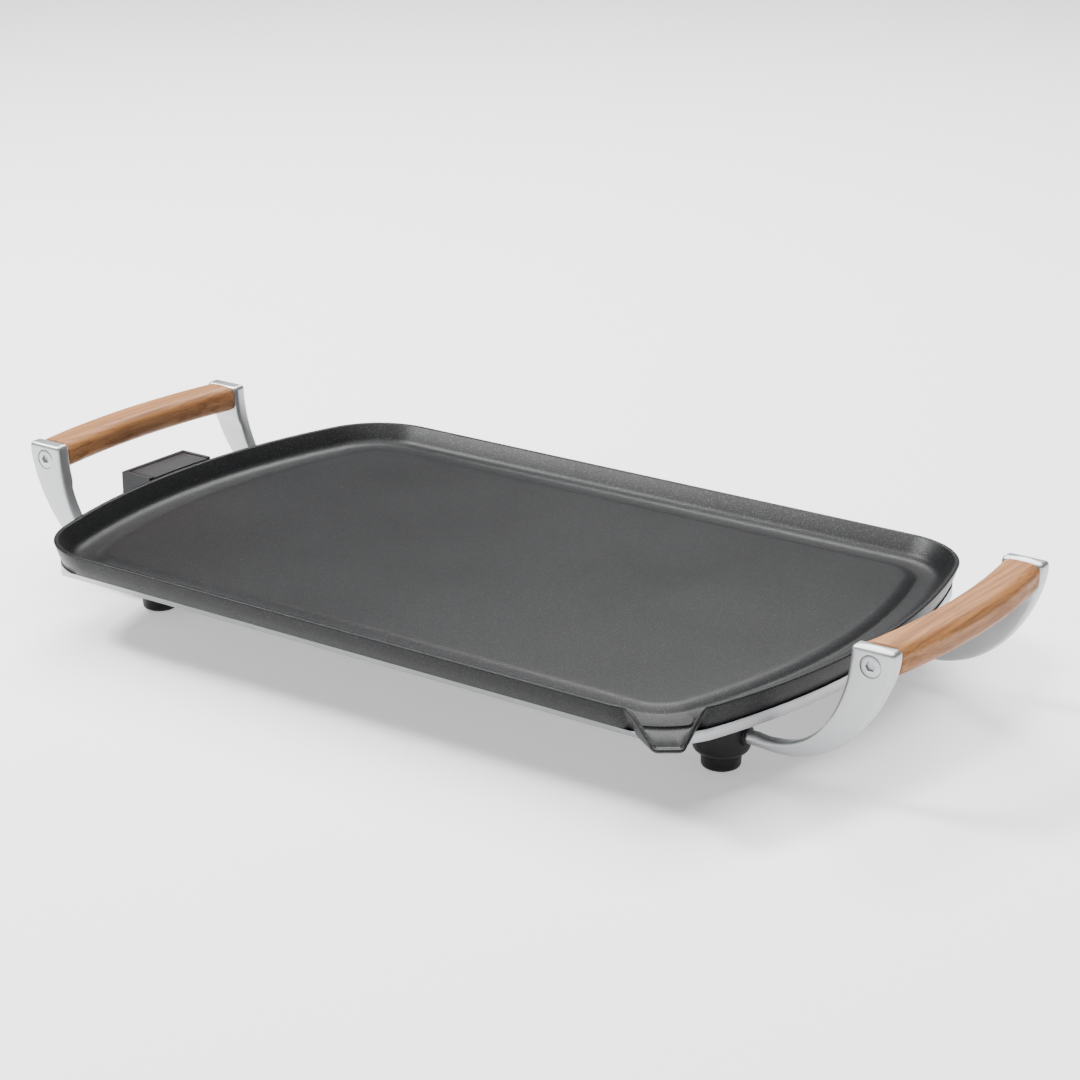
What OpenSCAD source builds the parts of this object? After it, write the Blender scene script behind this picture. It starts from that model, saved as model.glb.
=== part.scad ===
// Electric griddle: cast plate with drip gutter and pouring spout, steel tray
// with heating element, four levelling feet, two wooden carrying handles and
// an inlet for a plug-in heat controller. Millimetres, Z up, feet on Z = 0.

/* [Plate] */
// length of the plate over its bowed ends
plate_len = 500; // [480:5:520]
// width of the plate over its straight sides
plate_w = 319; // [305:1:330]
// radius of the bowed ends seen from above
end_r = 406.5; // [390:0.5:430]
// corner radius of the rim seen from above
corner_r = 50; // [44:1:56]
// height of the rim above the worktop
rim_z = 59; // [57:0.5:62]
// height of the outer rim wall
wall_h = 13.5; // [12.5:0.5:14]
// how far the outer wall leans in at its foot
wall_lean = 4.5; // [3:0.5:5]
// thickness of the rim at the top
rim_t = 3; // [2.5:0.5:4]
// depth of the gutter floor below the rim
gutter_d = 11.8; // [11:0.2:12]
// height of the cooking surface above the gutter floor
crown_h = 2.6; // [1.8:0.2:3]
// distance from the rim to the foot of the inner wall
gutter_in = 14; // [12:0.5:16]
// distance from the rim to the edge of the cooking surface
crown_in = 32; // [28:1:36]

/* [Spout] */
// direction the spout points, clockwise from the right end
spout_a = 52.5; // [48:0.5:58]
// distance from the corner centre to the lip
spout_r = 70; // [66:1:74]
// width of the notch where the spout leaves the rim
spout_w = 33; // [29:1:35]
// outside width of the lip
lip_w = 17; // [15:1:20]
// wall thickness of the spout
spout_t = 2; // [1.5:0.5:2.5]
// depth of the spout floor below the rim
throat_d = 13; // [12.5:0.1:13.4]

/* [Tray] */
// height of the visible tray band
band_h = 6.5; // [5.5:0.5:7.5]
// sheet thickness of the tray
sheet_t = 1.2; // [1:0.1:1.5]
// half length of the sunk middle of the tray
sump_x = 176; // [160:1:178]
// half width of the sunk middle of the tray
sump_y = 118; // [108:1:120]
// height of the lowest face of the tray
sump_z = 29.5; // [28.5:0.5:30]

/* [Feet] */
// foot position from the middle, along the length
foot_x = 200; // [198:1:202]
// foot position from the middle, across the width
foot_y = 76; // [75:0.5:77]
// how much farther back the two back feet and their arms sit
back_shift = 11; // [0:0.5:12]
// radius of the levelling leg
leg_r = 11; // [10:0.5:11]
// radius of the fixed collar
collar_r = 15.5; // [15:0.5:16.5]
// height at which the collar starts
collar_z = 9.3; // [8.5:0.1:10]

/* [Handles] */
// outer face of the handle arms, across the width
arm_y = 80; // [79:0.5:81]
// thickness of an arm
arm_t = 8; // [7.9:0.1:8.4]
// thickness of the arm head beside the grip
head_t = 9.5; // [9:0.5:10]
// reach of the arm head from the middle
head_x = 301.5; // [298:0.5:306]
// height of the top of the arm head
head_z = 88; // [86:0.5:90]
// width of the wooden grip
grip_w = 23.4; // [21:0.2:25]
// height of the wooden grip
grip_h = 15.4; // [14:0.2:18]

/* [Inlet] */
// half width of the inlet housing
inlet_y = 28; // [26:1:30]
// reach of the inlet housing from the middle
inlet_x = 275; // [272:1:278]
// lowest face of the inlet housing
inlet_z = 26; // [24:1:28]
// distance of each contact pin from the middle
pin_y = 16; // [15:0.5:17]

/* [Hidden] */
$fn = 72;

half_w = plate_w / 2;
end_cx = plate_len / 2 - end_r;
cor_y = half_w - corner_r;
cor_x = end_cx + sqrt(pow(end_r - corner_r, 2) - pow(cor_y, 2));
cor_a = atan2(cor_y, cor_x - end_cx);
wall_z = rim_z - wall_h;
band_z = wall_z - band_h;
gutter_z = rim_z - gutter_d;
crown_z = gutter_z + crown_h;
ring_in = 46;
under_z = wall_z - 3;
floor_z = band_z + sheet_t;
coil_r = 3.5;
coil_z = under_z - coil_r - 0.2;
coil_y = 95;
coil_in = 45;
neck_z = 21;
neck_r = 3.9;
web_z = collar_z + 6.8;
lip_half = lip_w / 2;
throat_z = rim_z - throat_d;
mouth = spout_w / 2 + spout_t;
neck_half = 10.5;
spout_end = -cor_y - spout_r * sin(spout_a) - (lip_half - 2) * cos(spout_a);
y_off = -(half_w + spout_end) / 2;
grip_r = head_x - 6.3 - end_cx;
grip_y = back_shift / 2;
grip_end = arm_y + grip_y - head_t - 0.4;
grip_z = head_z - 8.9;
screw_x = 288;
screw_z = 78;
strap_x = [-110, 0, 110];
function foot_at(sy) = sy > 0 ? foot_y + back_shift : -foot_y;
function face_at(sy) = sy > 0 ? arm_y + back_shift : -arm_y;

// the whole object sits with the middle of its outer box over the origin
module placed() {
    translate([0, y_off, 0]) children();
}

module corner_wedge(sx, sy, z0, z1) {
    translate([sx * cor_x, sy * cor_y, z0]) linear_extrude(z1 - z0)
        polygon([[0, 0], [sx * 100 * cos(cor_a), sy * 100 * sin(cor_a)],
            [sx * 100, sy * 120], [0, sy * 100]]);
}

// body with the outline of the rim, set in by d0 at z0 and by d1 at z1
module pan(z0, z1, d0, d1) {
    difference() {
        intersection() {
            translate([-plate_len, 0, 0]) rotate([90, 0, 90])
                linear_extrude(2 * plate_len)
                polygon([[-half_w + d0, z0], [half_w - d0, z0],
                    [half_w - d1, z1], [-half_w + d1, z1]]);
            translate([end_cx, 0, z0])
                cylinder(h = z1 - z0, r1 = end_r - d0, r2 = end_r - d1, $fn = 360);
            translate([-end_cx, 0, z0])
                cylinder(h = z1 - z0, r1 = end_r - d0, r2 = end_r - d1, $fn = 360);
        }
        for (sx = [-1, 1], sy = [-1, 1])
            corner_wedge(sx, sy, z0 - 1, z1 + 1);
    }
    for (sx = [-1, 1], sy = [-1, 1]) intersection() {
        corner_wedge(sx, sy, z0 - 1, z1 + 1);
        translate([sx * cor_x, sy * cor_y, z0])
            cylinder(h = z1 - z0, r1 = corner_r - d0, r2 = corner_r - d1);
    }
}

// outline as seen from above and from the side, in the spout's own frame
module spout_plan(z0, z1, half) {
    translate([0, 0, z0]) linear_extrude(z1 - z0)
        polygon(concat(half, [for (i = [len(half) - 1 : -1 : 0])
            [half[i][0], -half[i][1]]]));
}

module spout_side(points) {
    translate([0, 60, 0]) rotate([90, 0, 0]) linear_extrude(120)
        polygon(points);
}

module spout_frame() {
    translate([cor_x, -cor_y, 0]) rotate([0, 0, -spout_a]) children();
}

module spout_body() {
    spout_frame() {
        // side walls, their edge falling from the rim to the lip
        difference() {
            intersection() {
                spout_plan(throat_z, rim_z, [[40, mouth + 1.5], [47, mouth + 1.5],
                    [50, mouth], [spout_r - 2, lip_half], [spout_r, lip_half - 2]]);
                spout_side([[30, throat_z], [spout_r, throat_z],
                    [spout_r, throat_z + 1], [spout_r - 2, throat_z + 1.8],
                    [corner_r, rim_z], [30, rim_z]]);
            }
            translate([0, 0, throat_z - 1]) cylinder(h = 20, r = corner_r - 3.6);
        }
        // floor, with a shallow shelf on each side of the deeper middle
        intersection() {
            union() {
                spout_plan(throat_z - 0.4, throat_z + 1.2, [[34, mouth], [50, mouth],
                    [spout_r - 2, lip_half], [spout_r, lip_half - 2]]);
                spout_plan(throat_z - 3, throat_z + 1.1, [[34, neck_half], [54, neck_half],
                    [spout_r - 2, lip_half - 0.1], [spout_r - 0.1, lip_half - 2.1]]);
            }
            spout_side([[30, throat_z - 2.4], [spout_r - 4, throat_z - 2.6],
                [spout_r, throat_z - 1.8], [spout_r, throat_z + 1],
                [30, throat_z + 1.2]]);
        }
    }
}

module spout_channel() {
    spout_frame() intersection() {
        spout_plan(throat_z - 1, rim_z + 1, [[28, mouth - 4], [44, mouth - spout_t],
            [50, mouth - spout_t], [spout_r - 2, lip_half - spout_t + 0.3],
            [spout_r + 1, lip_half - spout_t - 1]]);
        spout_side([[20, gutter_z], [40.5, gutter_z], [41, throat_z + 0.8],
            [spout_r + 2, throat_z + 0.4], [spout_r + 2, rim_z + 2],
            [20, rim_z + 2]]);
    }
    spout_frame() intersection() {
        spout_plan(throat_z - 1, rim_z, [[41, neck_half - spout_t],
            [54, neck_half - spout_t], [spout_r - 2, lip_half - spout_t],
            [spout_r + 1, lip_half - spout_t - 1.2]]);
        spout_side([[41, throat_z + 3], [41.5, throat_z],
            [spout_r + 2, throat_z - 0.6], [spout_r + 2, throat_z + 3]]);
    }
}

// cross-section of rim wall, gutter and edge of the cooking surface, by the
// distance in from the rim; k is the place of the rim, s the way inwards
module rim_section(k, s) {
    polygon([for (q = [[wall_lean, wall_z], [0.3, rim_z - 0.8], [1, rim_z],
        [rim_t, rim_z], [gutter_in - 4, gutter_z + 2.4],
        [gutter_in - 1.5, gutter_z + 0.8], [gutter_in + 1.5, gutter_z],
        [crown_in - 8, gutter_z], [crown_in - 7, gutter_z + 0.6],
        [crown_in - 2, crown_z - 0.5], [crown_in + 1, crown_z],
        [ring_in, crown_z], [ring_in, under_z], [10.4, under_z], [10.4, wall_z]])
        [k + s * q[0], q[1]]]);
}

module rim_turn(x, y, r) {
    translate([x, y, 0]) rotate_extrude($fn = 240) rim_section(r, -1);
}

module end_wedge(s) {
    translate([s * end_cx, 0, 30]) linear_extrude(40)
        polygon([[0, 0], [s * 500 * cos(cor_a), 500 * sin(cor_a)],
            [s * 600, 0], [s * 500 * cos(cor_a), -500 * sin(cor_a)]]);
}

module rim_ring() {
    for (s = [-1, 1]) {
        translate([-cor_x, 0, 0]) rotate([90, 0, 90])
            linear_extrude(2 * cor_x) rim_section(s * half_w, -s);
        intersection() {
            rim_turn(s * end_cx, 0, end_r);
            end_wedge(s);
        }
    }
    for (sx = [-1, 1], sy = [-1, 1]) intersection() {
        rim_turn(sx * cor_x, sy * cor_y, corner_r);
        corner_wedge(sx, sy, 30, 70);
    }
}

// middle of the cooking surface, its edge hidden inside the ring
module plate_middle() {
    x = plate_len / 2 - 39;
    y = half_w - 38;
    turn = [[x, 40], [x - 5, 85], [cor_x + 6, cor_y + 8], [cor_x - 5, y]];
    translate([0, 0, under_z]) linear_extrude(crown_z - under_z)
        polygon([for (q = [[1, 1], [-1, 1], [-1, -1], [1, -1]]) for (p =
            q[0] * q[1] > 0 ? [for (i = [0 : 3]) turn[i]] : [for (i = [3 : -1 : 0]) turn[i]])
            [q[0] * p[0], q[1] * p[1]]]);
}

module griddle_plate() {
    color("dimgray") placed() difference() {
        union() {
            rim_ring();
            plate_middle();
            spout_body();
            // bosses under the plate for the clamps and the tray
            for (x = strap_x, sy = [-1, 1])
                translate([x, sy * (coil_y + coil_in) / 2, coil_z - coil_r])
                    cylinder(h = 8, r = 5);
            for (x = [-120, 0, 120], sy = [-1, 1])
                translate([x, sy * 132, floor_z + 1.2]) cylinder(h = 3, r = 5);
            // saddle over the end of the probe guide
            translate([-180, -6.5, coil_z - 1.2]) cube([12, 13, under_z - coil_z + 2]);
        }
        spout_channel();
        // grooves for the probe guide and the bushings
        translate([-252, 0, coil_z]) rotate([0, 90, 0]) cylinder(h = 97, r = 4.6);
        for (sy = [-1, 1]) translate([-252, sy * pin_y, coil_z])
            rotate([0, 90, 0]) cylinder(h = 14.5, r = 5.3);
        for (x = strap_x, sy = [-1, 1])
            translate([x, sy * (coil_y + coil_in) / 2, coil_z - coil_r - 1])
                cylinder(h = 8.5, r = 2);
        for (x = [-120, 0, 120], sy = [-1, 1])
            translate([x, sy * 132, floor_z]) cylinder(h = 5, r = 2);
    }
}

module rod_x(x0, x1, y) {
    translate([x0, y, coil_z]) rotate([0, 90, 0])
        cylinder(h = x1 - x0, r = coil_r);
}

module rod_y(x, y0, y1) {
    translate([x, y0, coil_z]) rotate([-90, 0, 0])
        cylinder(h = y1 - y0, r = coil_r);
}

module bend(x, y, r, a0, a1) {
    translate([x, y, coil_z]) rotate([0, 0, a0])
        rotate_extrude(angle = a1 - a0) translate([r, 0]) circle(r = coil_r);
}

module heating_element() {
    color("slategray") placed() {
        for (s = [-1, 1]) {
            rod_x(-236, -170, s * pin_y);
            rod_y(-154, s > 0 ? 32 : -(coil_y - 16), s > 0 ? coil_y - 16 : -32);
            rod_x(-138, 140, s * coil_y);
            rod_x(-80, 140, s * coil_in);
        }
        bend(-170, pin_y + 16, 16, -90, 0);
        bend(-170, -pin_y - 16, 16, 0, 90);
        bend(-138, coil_y - 16, 16, 90, 180);
        bend(-138, 16 - coil_y, 16, 180, 270);
        bend(140, (coil_y + coil_in) / 2, 25, -90, 90);
        bend(140, -(coil_y + coil_in) / 2, 25, -90, 90);
        bend(-80, 0, coil_in, 90, 270);
    }
}

module element_clamps() {
    color("silver") placed() for (x = strap_x, sy = [-1, 1]) difference() {
        translate([x - 8, sy * (coil_y + coil_in) / 2 - 32, coil_z - coil_r - 1])
            cube([16, 64, 1]);
        translate([x, sy * (coil_y + coil_in) / 2, coil_z - coil_r - 2])
            cylinder(h = 3, r = 2.2);
    }
}

// pan-head screw standing on its head, head height k, length l under the head
module screw_up(r, l, head_r, k) {
    cylinder(h = k * 0.4, r1 = head_r * 0.7, r2 = head_r);
    translate([0, 0, k * 0.4]) cylinder(h = k * 0.6, r = head_r);
    translate([0, 0, k]) cylinder(h = l, r = r);
}

module clamp_screws() {
    color("silver") placed() for (x = strap_x, sy = [-1, 1])
        translate([x, sy * (coil_y + coil_in) / 2, coil_z - coil_r - 3])
            screw_up(1.95, 8, 3.6, 2);
}

module tray_outer(z0, z1, d) {
    intersection() {
        pan(z0, z1, 4 + d, 4 + d);
        translate([-plate_len, 0, 0]) rotate([90, 0, 90])
            linear_extrude(2 * plate_len)
            polygon([[-half_w + 12.5 + d, band_z], [half_w - 12.5 - d, band_z],
                [half_w - 5.5 - d, wall_z], [-half_w + 5.5 + d, wall_z]]);
    }
}

module sump(z0, z1, d) {
    r = 24 - d;
    x = sump_x - d - r;
    y = sump_y - d - r;
    translate([-x, -y - r, z0]) cube([2 * x, 2 * (y + r), z1 - z0]);
    translate([-x - r, -y, z0]) cube([2 * (x + r), 2 * y, z1 - z0]);
    for (sx = [-1, 1], sy = [-1, 1])
        translate([sx * x, sy * y, z0]) cylinder(h = z1 - z0, r = r);
}

module base_tray() {
    color("silver") placed() difference() {
        union() {
            difference() {
                tray_outer(band_z, wall_z, 0);
                tray_outer(floor_z, wall_z + 1, sheet_t);
            }
            sump(sump_z, floor_z, 0);
        }
        sump(sump_z + sheet_t, floor_z + 1, sheet_t);
        // passage for the element ends and the probe guide
        translate([-238, -22, 34]) cube([70, 44, 8]);
        translate([-250, -24.6, 34]) cube([13.5, 49.2, 12]);
        for (x = [-120, 0, 120], sy = [-1, 1])
            translate([x, sy * 132, band_z - 1]) cylinder(h = 4, r = 2.2);
        for (sx = [-1, 1], sy = [-1, 1], t = [-1, 1])
            translate([sx * foot_x, foot_at(sy) + t * 10, band_z - 1])
                cylinder(h = 4, r = 2.2);
        for (sy = [-1, 1])
            translate([-232, sy * 24.5, band_z - 1]) cylinder(h = 4, r = 1.7);
        for (x = [-60 : 30 : 60], sy = [-1, 1])
            translate([x - 2.5, sy * 60 - 20, sump_z - 1]) cube([5, 40, 4]);
        // room for the floor of the spout
        spout_frame() spout_plan(throat_z - 3, wall_z + 1,
            [[34, neck_half + 0.8], [60, neck_half + 0.8]]);
    }
}

module tray_screws() {
    color("silver") placed() for (x = [-120, 0, 120], sy = [-1, 1])
        translate([x, sy * 132, band_z - 2.2]) screw_up(1.95, 6, 3.8, 2.2);
}

module tray_washers() {
    color("tan") placed() for (x = [-120, 0, 120], sy = [-1, 1])
        translate([x, sy * 132, floor_z]) difference() {
            cylinder(h = 1.2, r = 5);
            translate([0, 0, -1]) cylinder(h = 4, r = 2.2);
        }
}

module blank_label() {
    color("gainsboro") placed()
        translate([95, -20, sump_z - 0.3]) cube([60, 40, 0.3]);
}

module foot_collar(sx, sy) {
    translate([sx * foot_x, foot_at(sy), 0]) difference() {
        rotate_extrude() difference() {
            union() {
                translate([0, 14]) square([collar_r, band_z - 14]);
                translate([0, collar_z]) square([leg_r + 0.5, 5]);
                intersection() {
                    translate([leg_r - 0.2, 14.2]) circle(r = collar_r - leg_r + 0.2);
                    translate([0, collar_z]) square([collar_r, 5]);
                }
            }
            translate([-1, collar_z - 1]) square([leg_r + 1.3, web_z - collar_z + 1]);
            translate([-1, 0]) square([5, 60]);
        }
        // side bore that takes the neck of the handle arm
        translate([sx * 6, 0, neck_z]) rotate([0, sx * 90, 0])
            cylinder(h = 12, r = neck_r + 0.05);
        translate([sx * 10.5, 0, neck_z - 3]) cylinder(h = 30, r = 1.55);
        for (t = [-1, 1]) translate([0, t * 10, band_z - 14]) cylinder(h = 15, r = 2);
    }
}

module foot_collars() {
    color("#202020") placed() for (sx = [-1, 1], sy = [-1, 1])
        foot_collar(sx, sy);
}

module collar_screws() {
    color("silver") placed() for (sx = [-1, 1], sy = [-1, 1], t = [-1, 1])
        translate([sx * foot_x, foot_at(sy) + t * 10, floor_z + 2])
            rotate([180, 0, 0]) screw_up(1.95, 13, 3.6, 2);
}

module leg(sx, sy) {
    color("#1c1c1c") placed() translate([sx * foot_x, foot_at(sy), 0])
        rotate_extrude() difference() {
            polygon([[0, 0.4], [leg_r - 2.2, 0.4], [leg_r - 0.9, 1],
                [leg_r - 0.3, 2.4], [leg_r, 9], [leg_r, web_z - 0.1], [0, web_z - 0.1]]);
            translate([-1, -1]) square([9.5, 2.2]);
            translate([-1, 4]) square([4.95, 30]);
        }
}

module leg_front_left() leg(-1, -1);
module leg_front_right() leg(1, -1);
module leg_back_left() leg(-1, 1);
module leg_back_right() leg(1, 1);

module stud(sx, sy) {
    color("silver") placed() translate([sx * foot_x, foot_at(sy), 4]) {
        cylinder(h = 27.2, r = 3.93);
        translate([0, 0, 27.2]) cylinder(h = 0.8, r1 = 3.93, r2 = 3.2);
    }
}

module stud_front_left() stud(-1, -1);
module stud_front_right() stud(1, -1);
module stud_back_left() stud(-1, 1);
module stud_back_right() stud(1, 1);

module pad(sx, sy) {
    color("#303030") placed() translate([sx * foot_x, foot_at(sy), 0])
        cylinder(h = 1.2, r = 8.4);
}

module pad_front_left() pad(-1, -1);
module pad_front_right() pad(1, -1);
module pad_back_left() pad(-1, 1);
module pad_back_right() pad(1, 1);

function curve(a, b, c, d, t) = pow(1 - t, 3) * a + 3 * pow(1 - t, 2) * t * b
    + 3 * (1 - t) * t * t * c + pow(t, 3) * d;
function edge(a, b, c, d, n) = [for (i = [0 : n]) curve(a, b, c, d, i / n)];
function flip(p, sx) = [for (q = p) [sx * q[0], q[1]]];

arm_out = edge([head_x, head_z - 4], [head_x + 0.4, 70], [281, 9], [222, 17.5], 14);
arm_in = edge([222, 24.5], [260, 18], [275, 56], [head_x - 25.2, head_z - 4], 14);
arm_top = [[head_x - 24.6, head_z - 1.6], [head_x - 22.4, head_z - 0.6],
    [head_x - 12.6, head_z], [head_x - 2.8, head_z - 0.6], [head_x - 0.6, head_z - 1.8]];
arm_profile = concat(arm_out, arm_in, arm_top);

// arm outline, t thick, its outer face at the place of that side
module arm_plate(sx, sy, t) {
    translate([0, face_at(sy) + (sy > 0 ? 0 : t), 0]) rotate([90, 0, 0])
        linear_extrude(t) polygon(flip(arm_profile, sx));
}

module handle_arm(sx, sy) {
    color("#b8b9bb") placed() difference() {
        union() {
            arm_plate(sx, sy, arm_t);
            intersection() {
                arm_plate(sx, sy, head_t);
                translate([-400, -100, head_z - 24]) cube([800, 220, 40]);
            }
            translate([sx * 206.5, foot_at(sy), neck_z]) rotate([0, sx * 90, 0])
                cylinder(h = 21.5, r = neck_r);
        }
        translate([sx * (foot_x + 10.5), foot_at(sy), 10]) cylinder(h = 20, r = 1.55);
        translate([sx * screw_x, face_at(sy) - sy * 15, screw_z])
            rotate([sy * -90, 0, 0]) cylinder(h = 20, r = 2.2);
        translate([sx * screw_x, face_at(sy) - sy * 2.6, screw_z])
            rotate([sy * -90, 0, 0]) cylinder(h = 10, r = 6.2);
    }
}

module arm_front_left() handle_arm(-1, -1);
module arm_front_right() handle_arm(1, -1);
module arm_back_left() handle_arm(-1, 1);
module arm_back_right() handle_arm(1, 1);

module arm_lock_pins() {
    color("silver") placed() for (sx = [-1, 1], sy = [-1, 1])
        translate([sx * (foot_x + 10.5), foot_at(sy), neck_z - 2.9])
            cylinder(h = 14, r = 1.5);
}

module grip_section() {
    r = grip_h / 2 - 1;
    x = grip_w / 2;
    z = grip_h / 2;
    translate([-x, r - z]) square([grip_w, grip_h - 2 * r]);
    translate([r - x, -z]) square([grip_w - 2 * r, grip_h]);
    for (sx = [-1, 1], sz = [-1, 1])
        translate([sx * (x - r), sz * (z - r)]) circle(r = r);
}

module grip(s) {
    color("peru") placed() difference() {
        intersection() {
            translate([s * end_cx, grip_y, grip_z]) rotate([0, 0, s > 0 ? -12 : 168])
                rotate_extrude(angle = 24) translate([grip_r, 0]) grip_section();
            translate([-350, grip_y - grip_end, 50]) cube([700, 2 * grip_end, 50]);
        }
        for (sy = [-1, 1]) {
            translate([s * screw_x, grip_y + sy * (grip_end - 30), screw_z])
                rotate([sy * -90, 0, 0]) cylinder(h = 40, r = 2);
            translate([s * screw_x, grip_y + sy * (grip_end - 14), screw_z])
                rotate([sy * -90, 0, 0]) cylinder(h = 20, r = 3.5);
        }
    }
}

module grip_left() grip(-1);
module grip_right() grip(1);

module grip_inserts() {
    color("goldenrod") placed() for (sx = [-1, 1], sy = [-1, 1])
        translate([sx * screw_x, grip_y + sy * (grip_end - 14), screw_z])
            rotate([sy * -90, 0, 0]) difference() {
                cylinder(h = 14, r = 3.5);
                translate([0, 0, -1]) cylinder(h = 16, r = 2);
            }
}

// button-head screws, flush in the arm heads, with a hexagon socket
module grip_screws() {
    color("silver") placed() for (sx = [-1, 1], sy = [-1, 1])
        translate([sx * screw_x, face_at(sy) - sy * 2.6, screw_z])
            rotate([sy * -90, 0, 0]) difference() {
                union() {
                    translate([0, 0, -28]) cylinder(h = 29, r = 1.95);
                    cylinder(h = 2.2, r = 6.1);
                    translate([0, 0, 2.2]) cylinder(h = 0.5, r1 = 6.1, r2 = 4.8);
                }
                translate([0, 0, 1]) cylinder(h = 3, r = 2.6, $fn = 6);
            }
}

shelf_x = -182;
hood_x = -251.5;

module inlet_housing() {
    color("#303236") placed() difference() {
        union() {
            translate([-inlet_x, -inlet_y, inlet_z])
                cube([shelf_x + inlet_x, 2 * inlet_y, band_z - 0.2 - inlet_z]);
            translate([-inlet_x, -inlet_y, inlet_z])
                cube([hood_x + inlet_x, 2 * inlet_y, rim_z - inlet_z]);
        }
        pan(band_z - 0.2, rim_z + 1, -0.5, -0.5);
        // hollow, open downwards into the tray's passage
        translate([3 - inlet_x, 3 - inlet_y, inlet_z + 2.5])
            cube([shelf_x + inlet_x - 6, 2 * inlet_y - 6, band_z - inlet_z]);
        translate([3 - inlet_x, 3 - inlet_y, inlet_z + 2.5])
            cube([40, 2 * inlet_y - 6, rim_z - inlet_z - 5.5]);
        // opening for the end of the element and the guide
        translate([shelf_x - 4, -21, 34]) cube([8, 42, 10]);
        // mouth for the controller
        translate([-inlet_x - 1, -21, inlet_z + 4]) cube([6, 42, 25]);
        // seat of the cover
        translate([3 - inlet_x, 3 - inlet_y, rim_z - 2.4])
            cube([60, 2 * inlet_y - 6, 10]);
        for (sy = [-1, 1]) {
            translate([-232, sy * 24.5, inlet_z - 1]) cylinder(h = 20, r = 1.6);
            translate([-263, sy * 18, rim_z - 8]) cylinder(h = 8, r = 1.5);
        }
    }
}

module inlet_cover() {
    color("#2a2c30") placed() difference() {
        translate([4 - inlet_x, 4 - inlet_y, rim_z - 2.4])
            cube([40, 2 * inlet_y - 8, 2.2]);
        pan(rim_z - 5, rim_z + 1, -1, -1);
        for (sy = [-1, 1])
            translate([-263, sy * 18, rim_z - 5]) cylinder(h = 4, r = 1.7);
    }
}

module cover_screws() {
    color("silver") placed() for (sy = [-1, 1])
        translate([-263, sy * 18, rim_z - 4.4]) screw_up(1.45, 1.9, 2.8, 1.4);
}

module terminal_bracket() {
    color("silver") placed() difference() {
        union() {
            translate([-242, -24, inlet_z + 2.6]) cube([1.5, 48, 16]);
            translate([-242, -24, inlet_z + 2.6]) cube([14, 48, 1.2]);
        }
        for (sy = [-1, 1]) translate([-245, sy * pin_y, coil_z])
            rotate([0, 90, 0]) cylinder(h = 10, r = 5);
        translate([-245, 0, coil_z]) rotate([0, 90, 0]) cylinder(h = 10, r = 4.6);
        for (sy = [-1, 1])
            translate([-232, sy * 24.5, inlet_z]) cylinder(h = 10, r = 2.6);
    }
}

module ceramic_bushings() {
    color("ivory") placed() for (sy = [-1, 1])
        translate([-247, sy * pin_y, coil_z]) rotate([0, 90, 0]) difference() {
            union() {
                translate([0, 0, 5]) cylinder(h = 4, r = 4.95);
                cylinder(h = 5, r = 6.2);
            }
            translate([0, 0, -1]) cylinder(h = 20, r = 2.95);
        }
}

module contact_pins() {
    color("lightsteelblue") placed() for (sy = [-1, 1])
        translate([-236.1, sy * pin_y, coil_z]) rotate([0, -90, 0]) {
            cylinder(h = 12, r = 2.9);
            translate([0, 0, 11]) cylinder(h = 20, r = 3.2);
            translate([0, 0, 31]) cylinder(h = 1.6, r1 = 3.2, r2 = 1.8);
        }
}

module probe_guide() {
    color("gray") placed() translate([-268, 0, coil_z]) rotate([0, 90, 0])
        difference() {
            cylinder(h = 100, r = 4.4);
            translate([0, 0, -1]) cylinder(h = 98, r = 3.4);
        }
}

module earth_contact() {
    color("silver") placed() for (sy = [-1, 1]) {
        translate([-268, sy * 24 - 0.5, inlet_z + 6]) cube([25.9, 1, 6]);
    }
}

module inlet_screws() {
    color("silver") placed() for (sy = [-1, 1])
        translate([-232, sy * 24.5, inlet_z - 1.6]) screw_up(1.5, 15.2, 2.8, 1.6);
}

griddle_plate();
heating_element();
element_clamps();
clamp_screws();
base_tray();
tray_screws();
tray_washers();
blank_label();
foot_collars();
collar_screws();
leg_front_left();
leg_front_right();
leg_back_left();
leg_back_right();
stud_front_left();
stud_front_right();
stud_back_left();
stud_back_right();
pad_front_left();
pad_front_right();
pad_back_left();
pad_back_right();
arm_front_left();
arm_front_right();
arm_back_left();
arm_back_right();
arm_lock_pins();
grip_left();
grip_right();
grip_inserts();
grip_screws();
inlet_housing();
inlet_cover();
cover_screws();
terminal_bracket();
ceramic_bushings();
contact_pins();
probe_guide();
earth_contact();
inlet_screws();
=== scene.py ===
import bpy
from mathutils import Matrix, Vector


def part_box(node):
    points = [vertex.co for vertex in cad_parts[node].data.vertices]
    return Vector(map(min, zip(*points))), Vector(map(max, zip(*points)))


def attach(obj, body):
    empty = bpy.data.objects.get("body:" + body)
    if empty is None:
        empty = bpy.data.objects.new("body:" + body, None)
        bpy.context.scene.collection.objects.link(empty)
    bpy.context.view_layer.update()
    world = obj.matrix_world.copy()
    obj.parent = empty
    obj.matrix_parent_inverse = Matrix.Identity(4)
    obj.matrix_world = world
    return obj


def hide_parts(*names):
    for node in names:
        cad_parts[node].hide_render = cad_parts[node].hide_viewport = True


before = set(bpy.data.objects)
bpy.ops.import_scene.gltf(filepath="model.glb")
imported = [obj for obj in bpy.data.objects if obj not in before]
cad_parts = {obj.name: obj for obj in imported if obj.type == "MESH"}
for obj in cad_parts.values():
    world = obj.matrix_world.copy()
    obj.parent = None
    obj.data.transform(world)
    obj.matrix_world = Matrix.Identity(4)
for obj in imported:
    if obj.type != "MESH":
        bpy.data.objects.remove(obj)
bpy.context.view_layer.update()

import math

import bmesh
import bpy
from bpy.props import FloatProperty, FloatVectorProperty, PointerProperty
from mathutils import Matrix, Vector

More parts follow.
